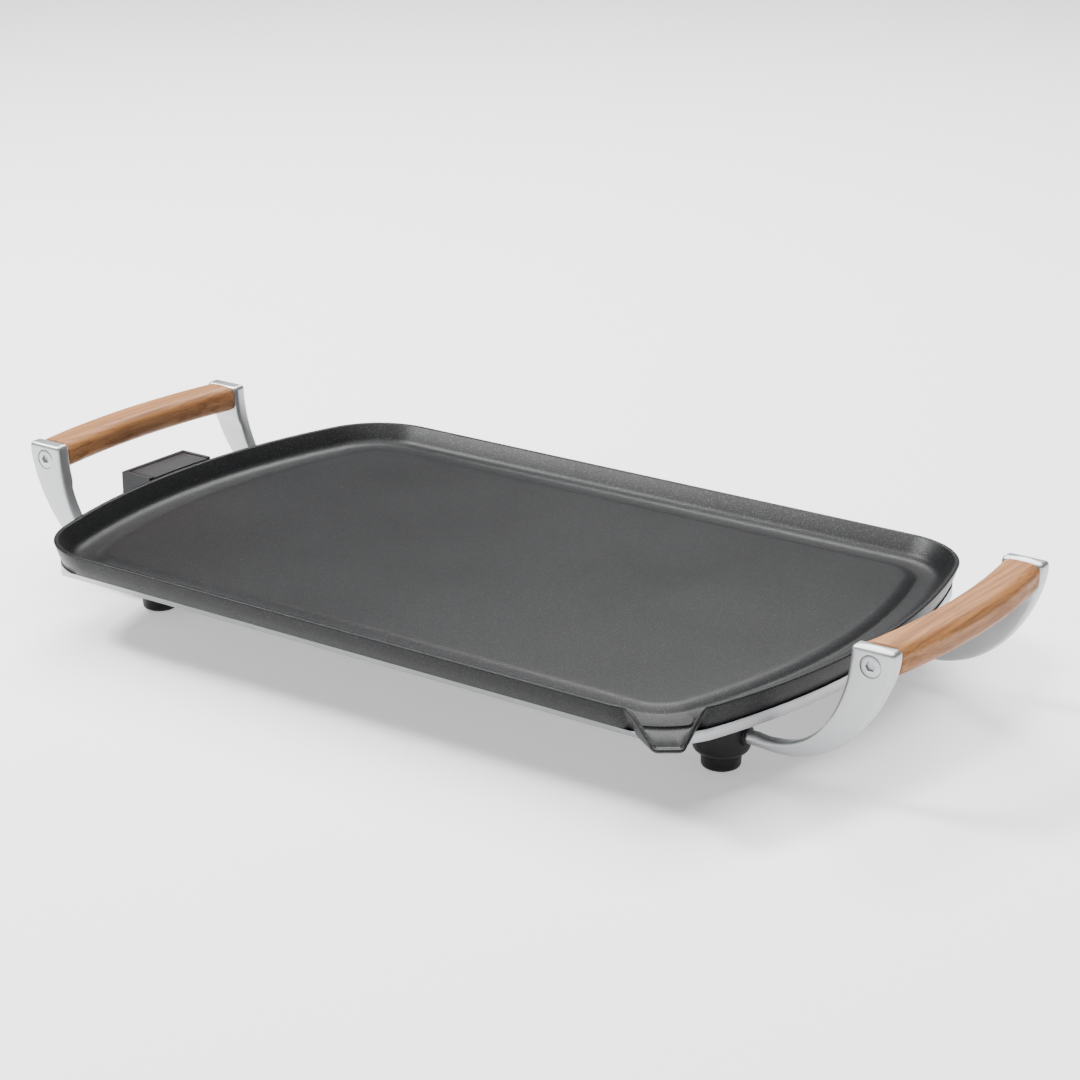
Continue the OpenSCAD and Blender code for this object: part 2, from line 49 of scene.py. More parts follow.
bl_info = {
    "name": "Electric griddle maker",
    "version": (1, 0, 0),
    "blender": (4, 5, 0),
    "location": "3D View > Sidebar > Griddle",
    "description": "Builds the cast plate, handles, feet and inlet of an electric griddle round its frame",
    "category": "Object",
}

MM = 0.001
SIDE_NAMES = {(-1, -1): "front_left", (1, -1): "front_right",
              (-1, 1): "back_left", (1, 1): "back_right"}


def box_mm(node):
    """Lowest and highest corner of a frame node, in millimetres."""
    low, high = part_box(node)
    return [c / MM for c in low], [c / MM for c in high]


PLATE_HIGH = box_mm("griddle_plate")[1]
COLLAR_LOW, COLLAR_HIGH = box_mm("foot_collars")
LEG_LOW, LEG_HIGH = box_mm("leg_front_right")
ARM_HIGH = box_mm("arm_back_right")[1]
GRIP_LOW, GRIP_HIGH = box_mm("grip_right")
SCREW_LOW, SCREW_HIGH = box_mm("grip_screws")
PIN_LOW, PIN_HIGH = box_mm("contact_pins")
GUIDE_LOW, GUIDE_HIGH = box_mm("probe_guide")
BUSH_HIGH = box_mm("ceramic_bushings")[1]
TRAY_LOW, TRAY_HIGH = box_mm("base_tray")

MID_Y = (TRAY_LOW[1] + TRAY_HIGH[1]) / 2
HALF_LENGTH = PLATE_HIGH[0]
HALF_WIDTH = PLATE_HIGH[1] - MID_Y
RIM_Z = PLATE_HIGH[2]
FOOT_X = (LEG_LOW[0] + LEG_HIGH[0]) / 2
LEG_R = (LEG_HIGH[0] - LEG_LOW[0]) / 2
COLLAR_R = COLLAR_HIGH[0] - FOOT_X
BAND_Z = COLLAR_HIGH[2]
HEAD_X = ARM_HIGH[0]
HEAD_Z = ARM_HIGH[2]
PIN_Z = (PIN_LOW[2] + PIN_HIGH[2]) / 2


def foot_row(row):
    """Where the feet of the front or back row stand along Y, from the middle."""
    low, high = box_mm("leg_" + SIDE_NAMES[(1, row)])
    return (low[1] + high[1]) / 2 - MID_Y


def arm_face(row):
    """Where the outer faces of the front or back arms lie along Y, from the middle."""
    low, high = box_mm("arm_" + SIDE_NAMES[(1, row)])
    return (high[1] if row > 0 else low[1]) - MID_Y


FOOT_AT = {row: foot_row(row) for row in (-1, 1)}
FACE_AT = {row: arm_face(row) for row in (-1, 1)}


# ---------------------------------------------------------------- settings

def length(name, description, default):
    return FloatProperty(name=name, description=description,
                         default=default * MM, unit="LENGTH")


def colour(name, description, default):
    return FloatVectorProperty(name=name, description=description, default=default,
                               subtype="COLOR", size=3, min=0.0, max=1.0)


class GriddlePlateSettings(bpy.types.PropertyGroup):
    end_radius: length("End radius", "Radius of the bowed ends seen from above", 406.5)
    corner_radius: length("Corner radius", "Corner radius of the rim", 50.0)
    wall_height: length("Wall height", "Height of the outer rim wall", 13.5)
    gutter_depth: length("Gutter depth", "Gutter floor below the rim", 11.8)
    crown_height: length("Crown height", "Cooking surface above the gutter", 2.6)
    spout_reach: length("Spout reach", "Corner centre to the lip", 70.0)
    spout_turn: FloatProperty(name="Spout direction", subtype="ANGLE",
                              description="Clockwise from the right end",
                              default=math.radians(52.5))
    coating: colour("Coating", "Non-stick coating", (0.0060, 0.0062, 0.0067))
    fleck: colour("Fleck", "Metal flecks in the coating", (0.085, 0.088, 0.094))


class GriddleHandleSettings(bpy.types.PropertyGroup):
    edge_radius: length("Edge radius", "Rounding along the arms", 2.6)
    arm_metal: colour("Arm metal", "Satin cast metal", (0.42, 0.428, 0.438))
    wood_light: colour("Light wood", "Pale early wood", (0.37, 0.162, 0.055))
    wood_dark: colour("Dark wood", "Darker late wood", (0.095, 0.033, 0.0105))


class GriddleBaseSettings(bpy.types.PropertyGroup):
    tray_metal: colour("Tray metal", "Silver tray", (0.33, 0.335, 0.345))
    foot_plastic: colour("Foot plastic", "Heat-proof black plastic", (0.0055, 0.0055, 0.006))
    inlet_plastic: colour("Inlet plastic", "Dark grey moulding", (0.016, 0.017, 0.019))


class GriddleStageSettings(bpy.types.PropertyGroup):
    floor: colour("Floor", "Plain pale floor", (0.90, 0.90, 0.90))
    azimuth: FloatProperty(name="Camera azimuth", subtype="ANGLE",
                           description="Camera turned from the front",
                           default=math.radians(36.74))
    elevation: FloatProperty(name="Camera elevation", subtype="ANGLE",
                             description="Camera above the rim",
                             default=math.radians(19.46))
    distance: length("Camera distance", "Camera to the middle of the rim", 1613.8)


# ---------------------------------------------------------------- mesh tools

SHARP_EDGE = 38.0    # degrees, from which two faces meet in a hard edge
FEWEST_FACES = 20    # of a carved piece; fewer means that the cut went wrong
AXIS = 0.01          # radius that closes a turned profile at its axis


def publish(name, verts, faces, sharp=SHARP_EDGE):
    """A piece from millimetre coordinates about the griddle's middle."""
    mesh = bpy.data.meshes.new(name)
    mesh.from_pydata([Vector((x, y + MID_Y, z)) * MM for x, y, z in verts], [], faces)
    work = bmesh.new()
    work.from_mesh(mesh)
    bmesh.ops.remove_doubles(work, verts=work.verts, dist=1e-7)
    bmesh.ops.recalc_face_normals(work, faces=work.faces)
    work.to_mesh(mesh)
    work.free()
    mesh.polygons.foreach_set("use_smooth", [True] * len(mesh.polygons))
    mesh.set_sharp_from_angle(angle=math.radians(sharp))
    piece = bpy.data.objects.new(name, mesh)
    bpy.context.scene.collection.objects.link(piece)
    return piece


class Shape:
    """Collects closed shells, in millimetres, for one piece."""

    def __init__(self):
        self.verts = []
        self.faces = []

    def add(self, verts, faces, place=None):
        base = len(self.verts)
        for v in verts:
            self.verts.append(tuple(place @ Vector(v)) if place else tuple(v))
        self.faces += [tuple(i + base for i in f) for f in faces]

    def publish(self, name, sharp=SHARP_EDGE):
        return publish(name, self.verts, self.faces, sharp)


def loft(rings, closed=False):
    """Skin over rings of equal length, capped, or closed from the last ring to the first."""
    count = len(rings[0])
    verts = [p for ring in rings for p in ring]
    faces = []
    spans = len(rings) if closed else len(rings) - 1
    for k in range(spans):
        a = k * count
        b = (k + 1) % len(rings) * count
        for i in range(count):
            j = (i + 1) % count
            faces.append((a + i, a + j, b + j, b + i))
    if not closed:
        faces.append(tuple(range(count))[::-1])
        faces.append(tuple(range(len(verts) - count, len(verts))))
    return verts, faces


def turned(profile, steps=72, closed=False):
    """Lathe about Z of (radius, height) or (radius, height, hexagon share)."""
    rings = []
    for entry in profile:
        radius, height = entry[:2]
        share = entry[2] if len(entry) > 2 else 0.0
        ring = []
        for i in range(steps):
            a = 2 * math.pi * i / steps
            flat = math.cos(math.pi / 6) / math.cos(a % (math.pi / 3) - math.pi / 6)
            r = radius * (1 + share * (flat - 1))
            ring.append((r * math.cos(a), r * math.sin(a), height))
        rings.append(ring)
    return loft(rings, closed=closed)


def eased(profile, radius, steps=4):
    """The path with its inner corners rounded by up to radius."""
    path = [profile[0]]
    for before, corner, after in zip(profile, profile[1:], profile[2:]):
        b, c, a = Vector(before[:2]), Vector(corner[:2]), Vector(after[:2])
        cut = min(radius, (b - c).length * 0.45, (a - c).length * 0.45)
        start = c + (b - c).normalized() * cut
        end = c + (a - c).normalized() * cut
        for i in range(steps + 1):
            t = i / steps
            path.append(tuple((1 - t) ** 2 * start + 2 * t * (1 - t) * c + t * t * end))
    path.append(profile[-1])
    return path


def rounded_ring(half_u, half_v, radius, corner_steps=6, straight=2):
    """Anticlockwise rounded rectangle as (u, v) pairs."""
    radius = min(radius, half_u - 0.01, half_v - 0.01)
    points = []
    for quarter, (su, sv) in enumerate(((1, 1), (-1, 1), (-1, -1), (1, -1))):
        for i in range(corner_steps + 1):
            a = math.pi / 2 * (quarter + i / corner_steps)
            points.append((su * (half_u - radius) + radius * math.cos(a),
                           sv * (half_v - radius) + radius * math.sin(a)))
    ring = []
    for k, p in enumerate(points):
        ring.append(p)
        if k % (corner_steps + 1) == corner_steps:
            q = points[(k + 1) % len(points)]
            for i in range(1, straight + 1):
                t = i / (straight + 1)
                ring.append((p[0] + (q[0] - p[0]) * t, p[1] + (q[1] - p[1]) * t))
    return ring


def bezier(points, t):
    a, b, c, d = (Vector(p) for p in points)
    s = 1 - t
    return s ** 3 * a + 3 * s * s * t * b + 3 * s * t * t * c + t ** 3 * d


def smoothstep(low, high, value):
    t = min(max((value - low) / (high - low), 0.0), 1.0)
    return t * t * (3 - 2 * t)


def carve(piece, cutter):
    """Subtracts cutter from piece for good, then drops the cutter."""
    cut = piece.modifiers.new("Carve", "BOOLEAN")
    cut.object = cutter
    cut.operation = "DIFFERENCE"
    cut.solver = "EXACT"
    bpy.context.view_layer.update()
    graph = bpy.context.evaluated_depsgraph_get()
    mesh = bpy.data.meshes.new_from_object(piece.evaluated_get(graph))
    piece.modifiers.remove(cut)
    if len(mesh.polygons) < FEWEST_FACES:
        raise RuntimeError("carving " + piece.name + " left nothing")
    piece.data = mesh
    mesh.set_sharp_from_angle(angle=math.radians(SHARP_EDGE))
    bpy.data.objects.remove(cutter)


def soften(piece, width, angle=40.0):
    """Small rounded edges on a part that keeps its frame shape."""
    join = piece.modifiers.new("Join", "WELD")
    join.merge_threshold = 1e-6
    edge = piece.modifiers.new("Edges", "BEVEL")
    edge.width = width * MM
    edge.segments = 2
    edge.limit_method = "ANGLE"
    edge.angle_limit = math.radians(angle)
    edge.harden_normals = True


def dress(piece, material, body, slot, *nodes):
    """Material, body and the nodes that the piece stands for; the slot argument is not used."""
    piece.data.materials.clear()
    piece.data.materials.append(material)
    if nodes:
        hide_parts(*nodes)
    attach(piece, body)
    return piece


# ---------------------------------------------------------------- node groups

def group(name, inputs, outputs):
    """A new shader group with its input and output nodes."""
    tree = bpy.data.node_groups.new(name, "ShaderNodeTree")
    for label, kind, default in inputs:
        socket = tree.interface.new_socket(label, in_out="INPUT", socket_type=kind)
        socket.default_value = default
    for label, kind in outputs:
        tree.interface.new_socket(label, in_out="OUTPUT", socket_type=kind)
    return tree, tree.nodes.new("NodeGroupInput"), tree.nodes.new("NodeGroupOutput")


def stretched(tree, source):
    """Object coordinates times the group's Stretch input."""
    place = tree.nodes.new("ShaderNodeTexCoord")
    times = tree.nodes.new("ShaderNodeVectorMath")
    times.operation = "MULTIPLY"
    tree.links.new(place.outputs["Object"], times.inputs[0])
    tree.links.new(source.outputs["Stretch"], times.inputs[1])
    return times.outputs["Vector"]


def remap(tree, value, low, high, to_low=0.0, to_high=1.0):
    """Map Range whose ends are numbers or sockets."""
    node = tree.nodes.new("ShaderNodeMapRange")
    tree.links.new(value, node.inputs["Value"])
    for label, end in (("From Min", low), ("From Max", high),
                       ("To Min", to_low), ("To Max", to_high)):
        if isinstance(end, (int, float)):
            node.inputs[label].default_value = end
        else:
            tree.links.new(end, node.inputs[label])
    return node.outputs["Result"]


def make_grain_group():
    """Soft, directional variation; used for grain, smudges and cast texture."""
    tree, source, sink = group(
        "Surface grain",
        (("Scale", "NodeSocketFloat", 100.0), ("Stretch", "NodeSocketVector", (1, 1, 1)),
         ("Detail", "NodeSocketFloat", 4.0), ("Low", "NodeSocketFloat", 0.35),
         ("High", "NodeSocketFloat", 0.65)),
        (("Mask", "NodeSocketFloat"), ("Height", "NodeSocketFloat")))
    noise = tree.nodes.new("ShaderNodeTexNoise")
    tree.links.new(stretched(tree, source), noise.inputs["Vector"])
    tree.links.new(source.outputs["Scale"], noise.inputs["Scale"])
    tree.links.new(source.outputs["Detail"], noise.inputs["Detail"])
    mask = remap(tree, noise.outputs["Fac"], source.outputs["Low"], source.outputs["High"])
    tree.links.new(mask, sink.inputs["Mask"])
    tree.links.new(noise.outputs["Fac"], sink.inputs["Height"])
    return tree


def make_fleck_group():
    """Scattered small flecks of even size."""
    tree, source, sink = group(
        "Scattered flecks",
        (("Scale", "NodeSocketFloat", 1500.0), ("Stretch", "NodeSocketVector", (1, 1, 1)),
         ("Share", "NodeSocketFloat", 0.2), ("Size", "NodeSocketFloat", 0.4)),
        (("Mask", "NodeSocketFloat"), ("Height", "NodeSocketFloat")))
    cells = tree.nodes.new("ShaderNodeTexVoronoi")
    tree.links.new(stretched(tree, source), cells.inputs["Vector"])
    tree.links.new(source.outputs["Scale"], cells.inputs["Scale"])
    pick = tree.nodes.new("ShaderNodeSeparateColor")
    tree.links.new(cells.outputs["Color"], pick.inputs["Color"])
    chosen = tree.nodes.new("ShaderNodeMath")
    chosen.operation = "LESS_THAN"
    tree.links.new(pick.outputs["Red"], chosen.inputs[0])
    tree.links.new(source.outputs["Share"], chosen.inputs[1])
    near = remap(tree, cells.outputs["Distance"], source.outputs["Size"], 0.0)
    both = tree.nodes.new("ShaderNodeMath")
    both.operation = "MULTIPLY"
    tree.links.new(chosen.outputs[0], both.inputs[0])
    tree.links.new(near, both.inputs[1])
    tree.links.new(both.outputs[0], sink.inputs["Mask"])
    tree.links.new(cells.outputs["Distance"], sink.inputs["Height"])
    return tree


GROUPS = {}


class Finish:
    """One material under construction, with its Principled shader."""

    def __init__(self, name, metallic=0.0, roughness=0.5):
        self.material = bpy.data.materials.new(name)
        self.material.use_nodes = True
        self.tree = self.material.node_tree
        self.tree.nodes.clear()
        sink = self.tree.nodes.new("ShaderNodeOutputMaterial")
        self.shader = self.tree.nodes.new("ShaderNodeBsdfPrincipled")
        self.tree.links.new(self.shader.outputs["BSDF"], sink.inputs["Surface"])
        self.shader.inputs["Metallic"].default_value = metallic
        self.shader.inputs["Roughness"].default_value = roughness

    def place(self, kind, values):
        """A shared group with this material's own values."""
        node = self.tree.nodes.new("ShaderNodeGroup")
        node.node_tree = GROUPS[kind]
        for label, value in values.items():
            node.inputs[label].default_value = value
        return node

    def grain(self, scale, low=0.35, high=0.65, stretch=(1, 1, 1), detail=4.0):
        return self.place("grain", {"Scale": scale, "Low": low, "High": high,
                                    "Stretch": stretch, "Detail": detail})

    def flecks(self, scale, share, size, stretch=(1, 1, 1)):
        return self.place("flecks", {"Scale": scale, "Share": share, "Size": size,
                                     "Stretch": stretch})

    def blend(self, mask, first, second):
        """Colour mix of two colours or sockets by a mask."""
        node = self.tree.nodes.new("ShaderNodeMix")
        node.data_type = "RGBA"
        self.tree.links.new(mask, node.inputs[0])
        for index, value in ((6, first), (7, second)):
            if hasattr(value, "is_linked"):
                self.tree.links.new(value, node.inputs[index])
            else:
                node.inputs[index].default_value = tuple(value)[:3] + (1.0,)
        return node.outputs[2]

    def math(self, operation, first, second):
        node = self.tree.nodes.new("ShaderNodeMath")
        node.operation = operation
        for index, value in ((0, first), (1, second)):
            if hasattr(value, "is_linked"):
                self.tree.links.new(value, node.inputs[index])
            else:
                node.inputs[index].default_value = value
        return node.outputs[0]

    def feed(self, label, socket):
        self.tree.links.new(socket, self.shader.inputs[label])

    def bump(self, height, strength, distance, normal=None):
        node = self.tree.nodes.new("ShaderNodeBump")
        node.inputs["Strength"].default_value = strength
        node.inputs["Distance"].default_value = distance * MM
        self.tree.links.new(height, node.inputs["Height"])
        if normal:
            self.tree.links.new(normal, node.inputs["Normal"])
        self.feed("Normal", node.outputs["Normal"])
        return node.outputs["Normal"]


def shade(tone, factor):
    return tuple(min(c * factor, 1.0) for c in tone)


# ---------------------------------------------------------------- finishes

def finish_coating(settings):
    """Matt non-stick coating on cast metal, with fine metal flecks."""
    f = Finish("Plate coating", roughness=0.40)
    f.shader.inputs["Specular IOR Level"].default_value = 0.16
    flecks = f.flecks(1900, 0.26, 0.50)
    cast = f.grain(900, 0.3, 0.7, detail=3.0)
    smudge = f.grain(14, 0.32, 0.68, detail=5.0)
    tone = f.blend(smudge.outputs["Mask"], settings.coating, shade(settings.coating, 1.15))
    f.feed("Base Color", f.blend(flecks.outputs["Mask"], tone, settings.fleck))
    f.feed("Metallic", f.math("MULTIPLY", flecks.outputs["Mask"], 0.8))
    rough = remap(f.tree, smudge.outputs["Mask"], 0.0, 1.0, 0.37, 0.41)
    f.feed("Roughness", f.math("SUBTRACT", rough,
                               f.math("MULTIPLY", flecks.outputs["Mask"], 0.08)))
    first = f.bump(cast.outputs["Height"], 0.22, 0.10)
    f.bump(flecks.outputs["Height"], 0.16, 0.12, first)
    return f.material


def finish_cast(settings):
    """Bead-blasted, clear-coated cast metal of the arms."""
    f = Finish("Satin cast metal", metallic=0.82, roughness=0.36)
    blast = f.grain(1300, 0.25, 0.75, detail=2.0)
    cloud = f.grain(26, 0.3, 0.7, detail=4.0)
    tone = f.blend(cloud.outputs["Mask"], shade(settings.arm_metal, 0.93),
                   shade(settings.arm_metal, 1.06))
    f.feed("Base Color", f.blend(blast.outputs["Mask"], tone,
                                 shade(settings.arm_metal, 1.12)))
    f.feed("Roughness", remap(f.tree, cloud.outputs["Mask"], 0.0, 1.0, 0.33, 0.42))
    f.bump(blast.outputs["Height"], 0.18, 0.08)
    return f.material


def finish_wood(settings):
    """Oiled hardwood with straight grain along the grip."""
    f = Finish("Oiled wood", roughness=0.58)
    f.shader.inputs["Specular IOR Level"].default_value = 0.3
    bands = f.grain(430, 0.42, 0.62, (1.0, 0.022, 0.7), detail=4.0)
    broad = f.grain(95, 0.40, 0.60, (1.0, 0.05, 0.8), detail=3.0)
    fibres = f.grain(1700, 0.35, 0.70, (1.0, 0.014, 1.0), detail=5.0)
    pores = f.flecks(1500, 0.34, 0.45, (1.0, 0.04, 1.0))
    middle = [(a + b) / 2 for a, b in zip(settings.wood_light, settings.wood_dark)]
    tone = f.blend(broad.outputs["Mask"], settings.wood_light, middle)
    streak = f.math("MULTIPLY", bands.outputs["Mask"], 0.62)
    tone = f.blend(streak, tone, settings.wood_dark)
    tone = f.blend(f.math("MULTIPLY", fibres.outputs["Mask"], 0.42), tone,
                   shade(settings.wood_light, 1.22))
    tone = f.blend(f.math("MULTIPLY", pores.outputs["Mask"], 0.75), tone,
                   shade(settings.wood_dark, 0.45))
    f.feed("Base Color", tone)
    f.feed("Roughness", remap(f.tree, bands.outputs["Mask"], 0.0, 1.0, 0.50, 0.64))
    first = f.bump(fibres.outputs["Height"], 0.20, 0.15)
    f.bump(f.math("SUBTRACT", 1.0, pores.outputs["Mask"]), 0.30, 0.10, first)
    return f.material


def finish_plastic(name, tone, scale, roughness, depth):
    """Moulded plastic with a spark-eroded skin and faint flow clouds."""
    f = Finish(name, roughness=roughness)
    f.shader.inputs["Specular IOR Level"].default_value = 0.25
    skin = f.grain(scale, 0.3, 0.7, detail=3.0)
    cloud = f.grain(35, 0.3, 0.7, (1.0, 1.0, 0.4), detail=4.0)
    base = f.blend(cloud.outputs["Mask"], shade(tone, 0.82), shade(tone, 1.3))
    f.feed("Base Color", f.blend(skin.outputs["Mask"], base, shade(tone, 1.5)))
    f.feed("Roughness", remap(f.tree, cloud.outputs["Mask"], 0.0, 1.0,
                              roughness - 0.07, roughness + 0.09))
    f.bump(skin.outputs["Height"], 0.35, depth)
    return f.material


def finish_sheet(name, tone, roughness, metallic=1.0, stretch=(0.03, 1.0, 1.0)):
    """Rolled or drawn metal with fine lines along one direction."""
    f = Finish(name, metallic=metallic, roughness=roughness)
    lines = f.grain(1400, 0.3, 0.7, stretch, detail=3.0)
    haze = f.grain(18, 0.3, 0.7, detail=5.0)
    spots = f.flecks(420, 0.06, 0.30)
    base = f.blend(lines.outputs["Mask"], shade(tone, 0.9), shade(tone, 1.12))
    f.feed("Base Color", f.blend(spots.outputs["Mask"], base, shade(tone, 0.6)))
    f.feed("Roughness", remap(f.tree, haze.outputs["Mask"], 0.0, 1.0,
                              roughness - 0.05, roughness + 0.10))
    f.bump(lines.outputs["Height"], 0.12, 0.05)
    return f.material


def finish_powdery(name, tone, roughness):
    """Unglazed ceramic, rubber or paper-like foil: dull and faintly grained."""
    f = Finish(name, roughness=roughness)
    grit = f.grain(1800, 0.3, 0.7, detail=4.0)
    stain = f.grain(90, 0.35, 0.7, detail=5.0)
    base = f.blend(grit.outputs["Mask"], shade(tone, 0.88), shade(tone, 1.08))
    f.feed("Base Color", f.blend(stain.outputs["Mask"], base, shade(tone, 0.93)))
    f.feed("Roughness", remap(f.tree, grit.outputs["Mask"], 0.0, 1.0,
                              roughness - 0.05, roughness + 0.08))
    f.bump(grit.outputs["Height"], 0.25, 0.06)
    return f.material


MATERIALS = {}


def prepare_finishes():
    """Every finish once, before the first piece needs it."""
    if MATERIALS:
        return
    scene = bpy.context.scene
    GROUPS["grain"] = make_grain_group()
    GROUPS["flecks"] = make_fleck_group()
    base = scene.griddle_base
    MATERIALS.update({
        "coating": finish_coating(scene.griddle_plate),
        "cast": finish_cast(scene.griddle_handles),
        "wood": finish_wood(scene.griddle_handles),
        "foot": finish_plastic("Black foot plastic", base.foot_plastic, 700, 0.42, 0.10),
        "inlet": finish_plastic("Grained inlet plastic", base.inlet_plastic, 1100, 0.50, 0.16),
        "tray": finish_sheet("Silver tray", base.tray_metal, 0.36, 0.9),
        "steel": finish_sheet("Spring steel", (0.50, 0.51, 0.53), 0.30),
        "screw": finish_sheet("Plated screw", (0.62, 0.62, 0.63), 0.26, 1.0, (1, 1, 0.1)),
        "element": finish_sheet("Annealed tube", (0.17, 0.16, 0.16), 0.42),
        "brass": finish_sheet("Brass", (0.60, 0.42, 0.16), 0.30),
        "ceramic": finish_powdery("Ceramic", (0.74, 0.71, 0.64), 0.55),
        "foil": finish_powdery("Plain foil", (0.62, 0.62, 0.63), 0.38),
        "rubber": finish_powdery("Pad rubber", (0.030, 0.030, 0.031), 0.72),
    })


# ---------------------------------------------------------------- plate

def rim_outline(radius_end, radius_corner):
    """Centre of the bowed end, centre of the corner, and the angle where the two arcs meet."""
    centre = HALF_LENGTH - radius_end
    corner_y = HALF_WIDTH - radius_corner
    corner_x = centre + math.sqrt((radius_end - radius_corner) ** 2 - corner_y ** 2)
    turn = math.atan2(corner_y, corner_x - centre)
    return centre, corner_x, corner_y, turn


def corner_path(before, corner, after, radius, steps):
    """Arc of that radius in a corner, as points."""
    b, c, a = Vector(before), Vector(corner), Vector(after)
    u, v = (b - c).normalized(), (a - c).normalized()
    half = u.angle(v) / 2
    start, end = c + u * radius / math.tan(half), c + v * radius / math.tan(half)
    middle = c + (u + v).normalized() * radius / math.sin(half)
    points = []
    for i in range(steps + 1):
        chord = start.lerp(end, i / steps)
        points.append(middle + (chord - middle).normalized() * radius)
    return points


def spout_half(reach, radius):
    """Half of the spout's plan, from the rim to the middle of the lip."""
    root, tip = Vector((50.0, 18.5)), Vector((68.0, 8.5))
    way = (tip - root).normalized()
    k = -(root.dot(way)) + math.sqrt(root.dot(way) ** 2 - root.length_squared + radius ** 2)
    meet = root + way * k
    tangent = Vector((-meet.y, meet.x)).normalized()
    corner = root + way * ((reach - root.x) / way.x)
    path = corner_path(meet + tangent * 10, meet, tip, 5.0, 6)
    path += [meet.lerp(corner, t) for t in (0.22, 0.36, 0.5, 0.64, 0.78)]
    path += corner_path(meet, corner, (reach, -20.0), 4.0, 9)
    path += [Vector((reach, corner.y * t)) for t in (0.45, 0.22, 0.0)]
    return path


def inset_reach(path, distance):
    """Radius against angle of the path moved inwards by distance."""
    table = []
    for i, p in enumerate(path):
        before = path[max(i - 1, 0)]
        after = path[min(i + 1, len(path) - 1)]
        way = (after - before).normalized()
        moved = p + Vector((way.y, -way.x)) * distance
        table.append((math.atan2(moved.y, moved.x), moved.length))
    return sorted(table)


def look_up(table, angle):
    for (a0, r0), (a1, r1) in zip(table, table[1:]):
        if a0 <= angle <= a1:
            return r0 + (r1 - r0) * (angle - a0) / max(a1 - a0, 1e-9)
    return table[0][1] if angle < table[0][0] else table[-1][1]


def plate_section(s):
    """Rim, gutter and crown from the underside round to the top: (inset, height)."""
    wall = RIM_Z - s.wall_height / MM
    gutter = RIM_Z - s.gutter_depth / MM
    crown = gutter + s.crown_height / MM
    return [(46, wall - 3), (11, wall - 3), (10.4, wall - 2.4), (10.4, wall), (5.1, wall),
            (4.4, wall + 0.5), (2.4, wall + 6.4), (0.32, RIM_Z - 0.9),
            (0.38, RIM_Z - 0.45), (0.65, RIM_Z - 0.12), (1.1, RIM_Z), (2.5, RIM_Z),
            (3.0, RIM_Z - 0.14), (3.4, RIM_Z - 0.55), (9.1, gutter + 3.7),
            (9.9, gutter + 2.6), (11.0, gutter + 1.6), (12.4, gutter + 0.8),
            (14.1, gutter + 0.25), (16, gutter), (18, gutter), (20, gutter),
            (23.4, gutter), (24.4, gutter + 0.2), (25.4, gutter + 0.75),
            (28.6, crown - 0.75), (30.2, crown - 0.3), (31.8, crown - 0.06),
            (34, crown), (46, crown)]


INSETS = (0.0, 1.0, 2.0, 3.0, 4.0, 6.0, 8.0, 10.0)
SHARED_FROM = 22     # place in the plate's section from which the spout's is the same
THROAT_DROP = 13.4   # spout floor, belly and lip below the rim
BELLY_DROP = 15.6
LIP_DROP = 12.25
SLOPE_START = 49.4   # distance from the corner's centre where the edge starts to fall
SLOPE = 0.625
WALL_LEAN = 6.8      # how far the outer wall comes in at its foot
FLOOR_LEAN = 6.2     # and the inner one


def spout_section(angle, reach, radius, tables, section):
    """The same points where the rim opens into the spout: (radius, height)."""
    throat = RIM_Z - THROAT_DROP
    low = RIM_Z - BELLY_DROP

    def at(inset):
        k = next(i for i in range(1, len(INSETS)) if inset <= INSETS[i])
        near, far = look_up(tables[k - 1], angle), look_up(tables[k], angle)
        return near + (far - near) * (inset - INSETS[k - 1]) / (INSETS[k] - INSETS[k - 1])

    def edge(r):
        u = r * math.cos(angle)
        straight = RIM_Z - max(u - SLOPE_START, 0.0) * SLOPE
        soft = smoothstep(66.0, reach, u)
        return straight * (1 - soft) + (RIM_Z - LIP_DROP) * soft

    outer, inner = at(0.0), at(2.0)
    lean = min(max((edge(outer) - low) / 15.0, 0.0), 1.0)
    tip = smoothstep(60.0, reach, outer) * 0.5
    foot_r = at(WALL_LEAN * lean)
    points = [(4.0, section[0][1]), (39, section[1][1]), (39.6, low - 0.5), (40.2, low),
              (foot_r - 1.0, low + tip), (foot_r - 0.3, low + 0.35 + tip),
              (at(WALL_LEAN / 2 * lean), (low + edge(outer)) / 2),
              (outer, edge(outer) - 0.8),
              (outer - 0.08, edge(outer) - 0.35), (outer - 0.35, edge(outer) - 0.08),
              (outer - 0.7, edge(outer - 0.7)), (inner + 0.6, edge(inner + 0.6)),
              (inner + 0.2, edge(inner) - 0.12), (inner, edge(inner) - 0.45)]
    for inset, rise in ((2.2, 1.3), (2.4, 0.7), (2.7, 0.3), (3.0, 0.1), (3.4, 0.0)):
        points.append((at(inset + FLOOR_LEAN * lean), throat + rise))
    last = points[-1][0]
    points += [(min(42.6, last - 0.3), throat), (min(42.0, last - 0.8), throat + 0.3),
               (min(41.4, last - 1.4), section[SHARED_FROM - 1][1] - 0.1)]
    return points + [(radius - d, z) for d, z in section[SHARED_FROM:]]


